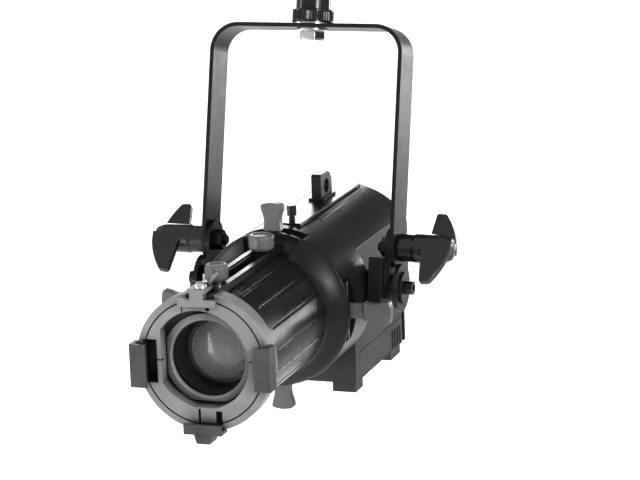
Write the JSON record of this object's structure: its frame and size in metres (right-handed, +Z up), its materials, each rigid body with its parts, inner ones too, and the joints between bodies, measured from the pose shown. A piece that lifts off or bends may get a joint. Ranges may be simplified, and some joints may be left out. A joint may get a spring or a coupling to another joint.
{
  "type": "led profile spotlight",
  "caption": "Small LED profile spotlight with framing shutters, sliding lenses and a filter-frame holder, hung from a pipe hook clamp by a tilting yoke.",
  "frame": {"origin": "centre of the pipe that the hook clamp seats on, midway along the hook", "axes": "+X along the pipe and the tilt axis, -Y to the front where the light leaves, +Z up; the head is pitched 14.5 degrees nose-down at rest"},
  "size_m": [0.232, 0.3485, 0.4306],
  "materials": {
    "clamp_gloss": "gloss black enamel",
    "plated_steel": "zinc plated",
    "black_steel": "black oxide",
    "powder_coat": "satin black powder coat",
    "powder_coat_fine": "semi-gloss black powder coat",
    "black_plastic": "satin moulded",
    "grey_plastic": "satin moulded",
    "blade_steel": "plain",
    "inner_aluminium": "plain",
    "black_anodised": "satin black",
    "lens_glass": "clear",
    "circuit_board": "solder resist",
    "rocker_plastic": "gloss",
    "cast_coat": "satin black powder coat"
  },
  "bodies": {
    "clamp": {"clamp_hook": "clamp_gloss", "clamp_spigot": "clamp_gloss", "lock_collar": "clamp_gloss", "pan_bolt": "plated_steel", "pan_washers": "plated_steel"},
    "clamp_screw": {"clamp_screw": "plated_steel", "clamp_pad": "plated_steel"},
    "yoke": {"yoke": "powder_coat"},
    "knob_right": {"knob_right": "black_plastic", "knob_right_stud": "black_steel"},
    "knob_left": {"knob_left": "black_plastic", "knob_left_stud": "black_steel"},
    "head": {"bracket_left": "cast_coat", "bracket_right": "cast_coat", "pivot_fasteners": "black_steel", "pivot_washers": "black_steel", "lens_tube": "powder_coat_fine", "slot_rails": "cast_coat", "front_ring": "cast_coat", "lens_bezel": "cast_coat", "clip_left": "cast_coat", "clip_right": "cast_coat", "clip_bottom": "cast_coat", "latch_bracket": "powder_coat", "latch_pin": "plated_steel", "gate_housing": "cast_coat", "pivot_bosses": "cast_coat", "shutter_frame": "black_anodised", "rear_housing": "cast_coat", "top_strip": "cast_coat", "safety_eyelet": "powder_coat", "rear_cover": "cast_coat", "housing_screws": "black_steel", "heat_sink": "inner_aluminium", "led_board": "circuit_board", "condenser_lens": "lens_glass", "fan_frame": "black_plastic", "driver_box": "cast_coat", "box_floor": "cast_coat", "driver_board": "circuit_board", "power_inlet": "black_plastic", "switch_frame": "black_plastic"},
    "filter_latch": {"filter_latch": "powder_coat", "latch_screw": "plated_steel"},
    "front_carriage": {"front_lens_carriage": "black_anodised", "front_lens": "lens_glass"},
    "front_thumb_screw": {"front_lens_thumb_screw": "grey_plastic"},
    "rear_carriage": {"rear_lens_carriage": "black_anodised", "rear_lens": "lens_glass"},
    "rear_thumb_screw": {"rear_lens_thumb_screw": "grey_plastic"},
    "shutter_top": {"shutter_top_blade": "blade_steel", "shutter_top_handle": "grey_plastic"},
    "shutter_right": {"shutter_right_blade": "blade_steel", "shutter_right_handle": "grey_plastic"},
    "shutter_left": {"shutter_left_blade": "blade_steel", "shutter_left_handle": "grey_plastic"},
    "shutter_bottom": {"shutter_bottom_blade": "blade_steel", "shutter_bottom_handle": "grey_plastic"},
    "fan_rotor": {"fan_rotor": "black_plastic"},
    "power_switch": {"power_switch": "rocker_plastic"}
  },
  "joints": [
    {"name": "clamp_screw_turn", "type": "hinge", "parent": "clamp", "child": "clamp_screw", "pos_m": [0, 0.03464, -0.02], "axis": [0, 0.866, -0.5], "continuous": true},
    {"name": "pan", "type": "hinge", "parent": "clamp", "child": "yoke", "pos_m": [0, 0, -0.098], "axis": [0, 0, 1], "continuous": true},
    {"name": "knob_right_turn", "type": "hinge", "parent": "yoke", "child": "knob_right", "pos_m": [0.095, 0, -0.259], "axis": [1, 0, 0], "continuous": true},
    {"name": "knob_left_turn", "type": "hinge", "parent": "yoke", "child": "knob_left", "pos_m": [-0.095, 0, -0.259], "axis": [1, 0, 0], "continuous": true},
    {"name": "tilt", "type": "hinge", "parent": "yoke", "child": "head", "pos_m": [0, 0, -0.259], "axis": [1, 0, 0], "range_deg": [-50, 75]},
    {"name": "filter_latch_flip", "type": "hinge", "parent": "head", "child": "filter_latch", "pos_m": [0, -0.19328, -0.29151], "axis": [-1, 0, 0], "range_deg": [0, 70]},
    {"name": "front_lens_slide", "type": "slide", "parent": "head", "child": "front_carriage", "axis": [0, -0.9681, -0.2504], "range_m": [-0.04, 0.002]},
    {"name": "front_thumb_screw_turn", "type": "hinge", "parent": "front_carriage", "child": "front_thumb_screw", "pos_m": [0, -0.17395, -0.28237], "axis": [0, -0.2504, 0.9681], "continuous": true},
    {"name": "rear_lens_slide", "type": "slide", "parent": "head", "child": "rear_carriage", "axis": [0, -0.9681, -0.2504], "range_m": [-0.004, 0.028]},
    {"name": "rear_thumb_screw_turn", "type": "hinge", "parent": "rear_carriage", "child": "rear_thumb_screw", "pos_m": [0, -0.08875, -0.26034], "axis": [0, -0.2504, 0.9681], "continuous": true},
    {"name": "shutter_top_slide", "type": "slide", "parent": "head", "child": "shutter_top", "axis": [0, -0.2504, 0.9681], "range_m": [0, 0.027]},
    {"name": "shutter_right_slide", "type": "slide", "parent": "head", "child": "shutter_right", "axis": [1, 0, 0], "range_m": [-0.0085, 0.0185]},
    {"name": "shutter_left_slide", "type": "slide", "parent": "head", "child": "shutter_left", "axis": [-1, 0, 0], "range_m": [-0.0125, 0.0145]},
    {"name": "shutter_bottom_slide", "type": "slide", "parent": "head", "child": "shutter_bottom", "axis": [0, 0.2504, -0.9681], "range_m": [0, 0.027]},
    {"name": "fan_spin", "type": "hinge", "parent": "head", "child": "fan_rotor", "pos_m": [0, 0.08371, -0.26222], "axis": [0, -0.9681, -0.2504], "continuous": true},
    {"name": "power_switch_rock", "type": "hinge", "parent": "head", "child": "power_switch", "pos_m": [0.0185, 0.12848, -0.30952], "axis": [0, -0.2504, 0.9681], "range_deg": [0, 15]}
  ]
}
